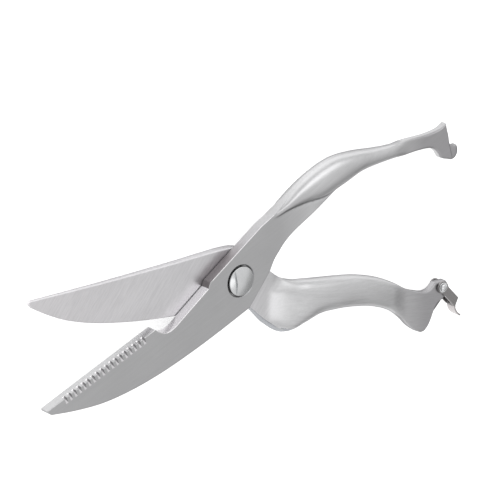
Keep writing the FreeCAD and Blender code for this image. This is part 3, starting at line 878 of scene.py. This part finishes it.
class SHEARS_OT_rear_half(bpy.types.Operator):
    """Builds the plain rear half with its tapered blade, ramp, grip and clip lug"""
    bl_idname = "shears.rear_half"
    bl_label = "Rear Half"

    def execute(self, context):
        sizes = context.scene.shears_sizes
        finish = context.scene.shears_finish
        places = stations(REAR_UPPER + REAR_LOWER, STATION_STEP, END_RADIUS)
        piece = strip("rear_half_steel", places, REAR_UPPER, REAR_LOWER, rear_heights(sizes),
                      plate_arris(sizes.arris / MM, REAR_FADE), END_RADIUS, rear_bow)
        lean_out(piece)
        cut(piece, lathe("bore_cutter", [(0, -9), (REAR_BORE, -9), (REAR_BORE, 3), (0, 3)], steps=128))
        edge, blade, grip, tail, under = colours(finish, "edge", "rear", "grip", "end", "underside")
        steel = ground_steel(
            "satin_ground_stainless_rear",
            [(-110, edge), (-30, blade), (8, blade), (26, grip), (86, grip), (106, tail), (128, tail)],
            finish.satin, (math.radians(45), math.radians(-14)), stroke_mm=0.22, stroke_long=16.0,
            tone=0.05, rim=finish.rim)
        dress(piece, "rear", steel, ["rear_half"])
        # painted shade: a dull blue-grey band under the ramp that fades along the grip
        skin = ground_steel(
            "as_forged_underside", [(0, under), (28, under), (44, grip), (60, grip)],
            0.42, (math.radians(-14),) * 2, stroke_mm=0.4, stroke_long=6.0, tone=0.05, bump=0.05)
        centre, way = faces_of(piece)
        x, y = centre.T[:2]
        # painted shade on faces that look down, and further along only on those that look more steeply
        # down
        zone(piece, skin, (x > 11) & (x < 46) & (y < -13) & (way[:, 1] < -0.42 - 0.25 * ease(23, 29, x)))
        place_half(piece, -sizes.half_open)
        return {"FINISHED"}


class SHEARS_OT_pivot(bpy.types.Operator):
    """Builds the slotted screw and gives the nut, stop pin, spring and its washer their steels"""
    bl_idname = "shears.pivot"
    bl_label = "Pivot"

    def execute(self, context):
        sizes = context.scene.shears_sizes
        finish = context.scene.shears_finish
        plate, spring, polished = colours(finish, "front", "spring", "bright")
        bright = polished_steel("buffed_stainless_screw", polished, finish.polish + 0.08)
        radius = (SCREW_HIGH.x - SCREW_LOW.x) / 2
        top = SCREW_HIGH.z
        dome = 1.3
        rim = 1.9
        thread = 2.5
        seat = top - dome - rim
        ball = (radius ** 2 + dome ** 2) / (2 * dome)
        # a spherical cap: z falls from the top by ball - sqrt(ball^2 - r^2), then rolls over the rim
        r = np.linspace(0, radius - 0.25, 28)
        cap = np.column_stack([r, top - ball + np.sqrt(ball ** 2 - r ** 2)])
        roll = np.linspace(0, math.pi / 2, 7)[1:]
        corner = np.column_stack([radius - 0.25 + 0.25 * np.sin(roll),
                                  cap[-1, 1] - 0.3 + 0.3 * np.cos(roll)])
        shank = [(radius, seat + 0.15), (radius - 0.15, seat), (thread, seat), (thread, SCREW_LOW.z + 0.4),
                 (thread - 0.4, SCREW_LOW.z), (0, SCREW_LOW.z)]
        piece = lathe("pivot_screw_head", np.vstack([cap, corner, shank]), steps=144)
        half = sizes.screw_slot / MM / 2
        depth = 1.3
        beside = 3.6
        slot_turn = math.radians(88)
        # the slot's cross-section has small round lips, carried straight along it
        lips = np.array([(-half, -depth), (half, -depth), (half, -0.4), (half + 0.3, 0.6),
                         (-half - 0.3, 0.6), (-half, -0.4)])
        ends = np.array([-radius - 2, radius + 2])
        points = np.concatenate([np.broadcast_to(ends[:, None, None], (2, 6, 1)),
                                 np.broadcast_to(lips, (2, 6, 2))], -1) + (0, beside, top)
        slot = tube("slot_cutter", points)
        slot.data.transform(Matrix.Rotation(slot_turn, 4, "Z"))
        cut(piece, slot)
        dress(piece, "rear", bright, ["pivot_screw"])

        # turned: the eye sees short marks all one way on a soft grey shine
        turned = ground_steel(
            "turned_stainless_nut", even(plate), 0.30, (0.0, 0.0), stroke_mm=0.2, stroke_long=8.0)
        # drawn through a die: the eye sees finer marks on a duller grey
        wire = ground_steel(
            "drawn_spring_steel", even(spring), 0.32, (0.0, 0.0), stroke_mm=0.12, stroke_long=10.0)
        finish_cad("pivot_nut", turned)
        finish_cad("stop_pin", turned)
        finish_cad("torsion_spring", wire)
        finish_cad("spring_washer", wire)
        return {"FINISHED"}


class SHEARS_OT_clip(bpy.types.Operator):
    """Builds the lock clip from one bent strip, with its finger lip, and the rivet it turns on"""
    bl_idname = "shears.clip"
    bl_label = "Clip"

    def execute(self, context):
        finish = context.scene.shears_finish
        rolled, lip_highlight, polished = colours(finish, "clip", "lip", "bright")
        sheet = 0.9
        outer = (CLIP_HIGH.z - CLIP_LOW.z) / 2
        middle = outer - sheet / 2
        reach = 13.3
        bend = 0.9
        lean = math.tan(math.radians(20))
        angle = math.radians(-39.7) - context.scene.shears_sizes.half_open
        centre_z = (CLIP_HIGH.z + CLIP_LOW.z) / 2
        # the strip's middle line: along one arm, a quarter turn, down the web, and back
        arm = np.linspace(0, reach - sheet / 2 - bend, 40)
        turn = np.linspace(0, math.pi / 2, 9)[1:]
        web = np.linspace(middle - bend, 0, 7)[1:]
        u = np.concatenate([arm, arm[-1] + bend * np.sin(turn), np.full(len(web), arm[-1] + bend)])
        z = np.concatenate([np.full(len(arm), middle), middle - bend + bend * np.cos(turn), web])
        u = np.concatenate([u, u[-2::-1]])
        z = np.concatenate([z, -z[-2::-1]])
        eye = 2.8
        half_width = 2.1
        # the arms start as a round eye: half circles of radius eye, then fall to the strip's width
        start = np.linspace(-math.pi / 2, 0, 14)[:-1]
        cap_u = eye * np.sin(start)
        widths = np.where(u < 3.2, half_width + (eye - half_width) * (1 - ease(0.6, 3.2, u)), half_width)
        u = np.concatenate([cap_u, u, cap_u[::-1]])
        z = np.concatenate([np.full(len(start), middle), z, np.full(len(start), -middle)])
        widths = np.concatenate([eye * np.cos(start), widths, eye * np.cos(start)[::-1]])
        widths = np.maximum(widths, 0.05)
        v = np.sin(np.linspace(-math.pi / 2, math.pi / 2, 15))
        across = widths[:, None] * v
        skew = ease(8.0, reach - bend, u)[:, None]
        x = u[:, None] - across * lean * skew
        points = np.stack([x, across, np.broadcast_to(z[:, None], x.shape)], -1)
        # rolled: the eye sees long faint lines along the strip, on a dark grey
        steel = ground_steel(
            "rolled_stainless_strip", even(rolled), 0.30, (angle, angle), stroke_mm=0.3, stroke_long=18.0)
        arms = self.sheet_piece("lock_clip_strip", points, sheet, angle, centre_z)
        # the lip: a tongue whose middle line runs out from the web and curls back up, and whose
        # width falls as an ellipse to its tip
        knots = [(0, 12.9, -0.4), (1.4, 13.6, -1.6), (3.2, 14.9, -2.6), (5.4, 17.1, -3.1),
                 (7.8, 19.5, -2.9), (9.8, 21.5, -2.1)]
        slowing = np.sin(np.linspace(0, math.pi / 2, 10)[1:])
        s = np.concatenate([np.linspace(0, 7.4, 20), 7.4 + 2.4 * slowing])
        line = hermite(knots, s)
        lip_half = 2.45
        wide = lip_half * np.sqrt(np.clip(1 - np.clip((s - 6.6) / 3.2, 0, 1) ** 2.2, 0.0004, 1))
        side = wide[:, None] * v
        lip = np.stack([np.broadcast_to(line[:, :1], side.shape),
                        np.broadcast_to(line[:, 1:], side.shape), side], -1)
        tongue = self.sheet_piece("lock_clip_lip", lip, sheet * 0.9, angle, centre_z)
        dress(arms, "clip", steel, ["lock_clip"])
        # the same strip, lighter as a painted highlight with a warm painted reflection, and with shorter
        # lines
        lip_highlight_steel = ground_steel(
            "worn_stainless_lip", even(lip_highlight), 0.32, (angle, angle), stroke_mm=0.3, stroke_long=10.0)
        dress(tongue, "clip", lip_highlight_steel, [])

        bright = polished_steel("buffed_stainless_rivet", polished, finish.polish)
        head = 1.7
        rise = 0.9
        shank = 1.2
        front = RIVET_HIGH.z - rise
        back = RIVET_LOW.z + rise
        a = np.linspace(0, math.pi / 2, 14)
        dome_front = np.column_stack([head * np.sin(a), front + rise * np.cos(a)])
        dome_back = np.column_stack([head * np.sin(a), back - rise * np.cos(a)])[::-1]
        profile = np.vstack([dome_front, [(shank, front), (shank, back)], dome_back])
        rivet = lathe("clip_rivet_domed", profile, (RIVET.x, RIVET.y), 72, 50)
        dress(rivet, "rear", bright, ["clip_rivet"])
        outside = (WASHER_HIGH.x - WASHER_LOW.x) / 2
        low, high = WASHER_LOW.z, WASHER_HIGH.z
        bore = 1.3
        bevel = 0.1
        ring = [(bore, low), (outside - bevel, low), (outside, low + bevel), (outside, high - bevel),
                (outside - bevel, high), (bore, high), (bore, low)]
        washer = lathe("clip_washer_ring", ring, (RIVET.x, RIVET.y), 72)
        dress(washer, "rear", bright, ["clip_washer"])
        return {"FINISHED"}

    def sheet_piece(self, name, points, thickness, angle, centre_z):
        """A grid of middle points becomes a strip of that thickness, turned and moved to the rivet."""
        points = points @ np.array(Matrix.Rotation(angle, 3, "Z")).T + (RIVET.x, RIVET.y, centre_z)
        piece = make_mesh(name, points.reshape(-1, 3), grid_faces(*points.shape[:2], wrap=False), 60)
        solid = piece.modifiers.new("thickness", "SOLIDIFY")
        solid.thickness = thickness * MM
        solid.offset = 0
        solid.use_even_offset = True
        round_over = piece.modifiers.new("edges", "BEVEL")
        round_over.width = 0.12 * MM
        round_over.segments = 2
        round_over.limit_method = "ANGLE"
        round_over.angle_limit = math.radians(50)
        return piece


class SHEARS_OT_stage(bpy.types.Operator):
    """Sets the pale floor, the soft studio light and the camera"""
    bl_idname = "shears.stage"
    bl_label = "Stage"

    def execute(self, context):
        stage = context.scene.shears_stage
        half = 3.0
        floor = bpy.data.meshes.new("floor")
        floor.from_pydata([(-half, -half, 0), (half, -half, 0), (half, half, 0), (-half, half, 0)], [],
                          [(0, 1, 2, 3)])
        floor_piece = stand("floor", floor)
        paper = bpy.data.materials.new("matt_white_paper")
        paper.use_nodes = True
        surface = paper.node_tree.nodes["Principled BSDF"]
        surface.inputs["Base Color"].default_value = (*stage.floor_colour, 1)
        surface.inputs["Roughness"].default_value = 0.9
        surface.inputs["Emission Color"].default_value = (1, 1, 1, 1)
        surface.inputs["Emission Strength"].default_value = stage.floor_glow
        floor.materials.append(paper)

        world = bpy.data.worlds.new("studio")
        context.scene.world = world
        world.use_nodes = True
        back = world.node_tree.nodes["Background"]
        back.inputs["Color"].default_value = (1, 1, 1, 1)
        # the sky is even except round one unlit corner, low down beyond the rear handle: its light
        # fades from about 52 to 14 degrees from the corner's middle
        tree = world.node_tree
        way = add(tree, "TexCoord").outputs["Generated"]
        unlit = (0.787, -0.616, -0.05)
        near = add(tree, "VectorMath", {0: way, 1: unlit}, operation="DOT_PRODUCT")
        level = add(tree, "MapRange", {
            "Value": near.outputs["Value"], "From Min": 0.62, "From Max": 0.97,
            "To Min": stage.sky, "To Max": stage.sky * stage.corner}, interpolation_type="SMOOTHSTEP")
        tree.links.new(level.outputs[0], back.inputs["Strength"])

        # soft boxes: name, place, aim, size and power
        centre = Vector((0, 0, 0.01))
        self.soft_box("strip", Vector((0.18, 0.86, 0.82)), centre, (1.5, 0.6), stage.strip)
        self.soft_box("top", Vector((-0.2, -0.3, 1.2)), centre, (0.7, 0.7), stage.top)

        right = Vector((0.77071, -0.07841, 0.63234))
        up = Vector((0.30302, 0.91809, -0.25548))
        back_way = right.cross(up).normalized()
        right = up.cross(back_way).normalized()
        target = Vector((0, 0, (SLIDE_Z + PLATE) * MM))
        aside = 3.90 * MM
        above = 13.42 * MM
        place = target + back_way * stage.distance + right * aside + up * above
        lens = bpy.data.cameras.new("camera")
        lens.lens = stage.lens / MM
        lens.sensor_width = 36
        lens.clip_start = 0.05
        camera = stand("camera", lens)
        turn = Matrix((right, up, back_way)).transposed().to_4x4()
        camera.matrix_world = Matrix.Translation(place) @ turn
        context.scene.camera = camera
        context.scene.view_settings.view_transform = "Standard"
        return {"FINISHED"}

    def soft_box(self, name, place, aim, size, power):
        """A rectangular area light that points from its place to its aim."""
        light = bpy.data.lights.new(name, "AREA")
        light.shape = "RECTANGLE"
        light.size, light.size_y = size
        light.energy = power
        box = stand(name, light)
        turn = (aim - place).to_track_quat("-Z", "Y").to_matrix().to_4x4()
        box.matrix_world = Matrix.Translation(place) @ turn


class SHEARS_PT_panel(bpy.types.Panel):
    """Lists the pieces and the settings"""
    bl_idname = "SHEARS_PT_panel"
    bl_label = "Poultry Shears"
    bl_space_type = "VIEW_3D"
    bl_region_type = "UI"
    bl_category = "Shears"

    def draw(self, context):
        layout = self.layout
        for group in (context.scene.shears_sizes, context.scene.shears_finish, context.scene.shears_stage):
            box = layout.box()
            for key in group.__annotations__:
                box.prop(group, key)
        for operator in OPERATORS:
            layout.operator(operator.bl_idname)


GROUPS = (ShearsSizes, ShearsFinish, ShearsStage)
OPERATORS = (SHEARS_OT_front_half, SHEARS_OT_rear_half, SHEARS_OT_pivot, SHEARS_OT_clip, SHEARS_OT_stage)
CLASSES = GROUPS + OPERATORS + (SHEARS_PT_panel,)


def register():
    for cls in CLASSES:
        bpy.utils.register_class(cls)
    bpy.types.Scene.shears_sizes = PointerProperty(type=ShearsSizes)
    bpy.types.Scene.shears_finish = PointerProperty(type=ShearsFinish)
    bpy.types.Scene.shears_stage = PointerProperty(type=ShearsStage)


def unregister():
    del bpy.types.Scene.shears_stage
    del bpy.types.Scene.shears_finish
    del bpy.types.Scene.shears_sizes
    for cls in reversed(CLASSES):
        bpy.utils.unregister_class(cls)


def main():
    register()
    bpy.ops.shears.front_half()
    bpy.ops.shears.rear_half()
    bpy.ops.shears.pivot()
    bpy.ops.shears.clip()
    bpy.ops.shears.stage()


if __name__ == "__main__":
    main()
